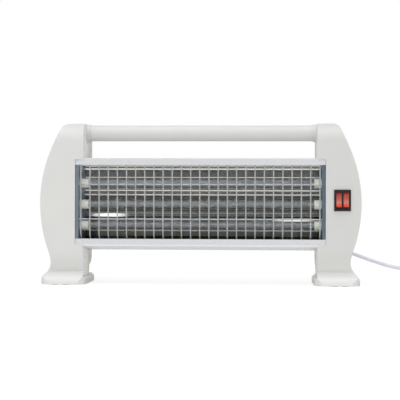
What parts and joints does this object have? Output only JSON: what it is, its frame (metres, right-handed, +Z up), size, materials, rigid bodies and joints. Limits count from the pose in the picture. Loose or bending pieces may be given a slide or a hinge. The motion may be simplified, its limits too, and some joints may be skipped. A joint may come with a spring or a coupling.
{
  "type": "electric bar heater",
  "caption": "Electric bar heater with horizontal quartz tubes in a folded steel housing, a wire grille, moulded side covers with feet, a tubular carrying handle and rocker switches.",
  "frame": {"origin": "middle of the footprint at floor level, midway between the two side covers and midway along the feet", "axes": "+Z up; -Y is the front, which the grille faces; +X runs along the tubes towards the side cover with the switches"},
  "size_m": [0.6857, 0.178, 0.2455],
  "materials": {
    "white_plastic": "fine matt moulded white",
    "inner_plastic": "fine matt moulded off-white",
    "base_plastic": "matt off-white",
    "handle_plastic": "satin white",
    "pad_rubber": "matt",
    "fastener_steel": "zinc plated",
    "powder_coat": "fine powder coat, silvery white",
    "reflector_sheet": "polished",
    "cheek_sheet": "polished",
    "grille_chrome": "bright plated wire",
    "quartz": "clear to slightly milky",
    "filament_wire": "oxidised resistance wire",
    "ceramic": "unglazed cream ceramic",
    "spring_steel": "plain",
    "terminal_brass": "plain",
    "lead_sleeve": "sleeved wire, off-white",
    "switch_black": "satin black",
    "rocker_red": "translucent orange-red",
    "device_black": "matt black",
    "plunger_red": "matt red",
    "block_white": "matt off-white",
    "cord_pvc": "soft satin white",
    "tie_black": "matt",
    "plug_white": "satin white",
    "pin_nickel": "nickel plated"
  },
  "bodies": {
    "heater": {"left_side_cover": "white_plastic", "right_side_cover": "white_plastic", "left_inner_plate": "inner_plastic", "right_inner_plate": "inner_plastic", "left_base_plate": "base_plastic", "right_base_plate": "base_plastic", "foot_pads": "pad_rubber", "base_screws": "fastener_steel", "plate_screws": "fastener_steel", "handle_tube": "handle_plastic", "handle_tie_rod": "fastener_steel", "tie_rod_nuts": "fastener_steel", "housing": "powder_coat", "reflector": "reflector_sheet", "left_cheek": "cheek_sheet", "right_cheek": "cheek_sheet", "cheek_screws": "fastener_steel", "grille_wires": "grille_chrome", "grille_rods": "grille_chrome", "upper_quartz_tube": "quartz", "middle_quartz_tube": "quartz", "lower_quartz_tube": "quartz", "upper_filament": "filament_wire", "middle_filament": "filament_wire", "lower_filament": "filament_wire", "left_ceramic_caps": "ceramic", "right_ceramic_caps": "ceramic", "left_cap_retainer": "spring_steel", "right_cap_retainer": "spring_steel", "tube_terminals": "terminal_brass", "return_lead": "lead_sleeve", "switch_leads": "lead_sleeve", "switch_body": "switch_black", "switch_tabs": "terminal_brass", "thermal_cutout": "device_black", "terminal_block": "block_white", "tip_switch": "device_black", "strain_relief": "cord_pvc", "supply_cord": "cord_pvc", "cord_coil": "cord_pvc", "coil_tie": "tie_black", "plug_body": "plug_white", "plug_pins": "pin_nickel"},
    "left_rocker": {"left_rocker": "rocker_red"},
    "right_rocker": {"right_rocker": "rocker_red"},
    "tip_plunger": {"tip_plunger": "plunger_red"}
  },
  "joints": [
    {"name": "left_rocker_tilt", "type": "hinge", "parent": "heater", "child": "left_rocker", "pos_m": [0.2087, -0.0458, 0.1285], "axis": [1, 0, 0], "range_deg": [0, 16]},
    {"name": "right_rocker_tilt", "type": "hinge", "parent": "heater", "child": "right_rocker", "pos_m": [0.2193, -0.0458, 0.1285], "axis": [1, 0, 0], "range_deg": [0, 16]},
    {"name": "tip_plunger_drop", "type": "slide", "parent": "heater", "child": "tip_plunger", "axis": [0, 0, -1], "range_m": [0, 0.004], "stiffness_N_per_m": 100, "springref_m": 0.006}
  ]
}
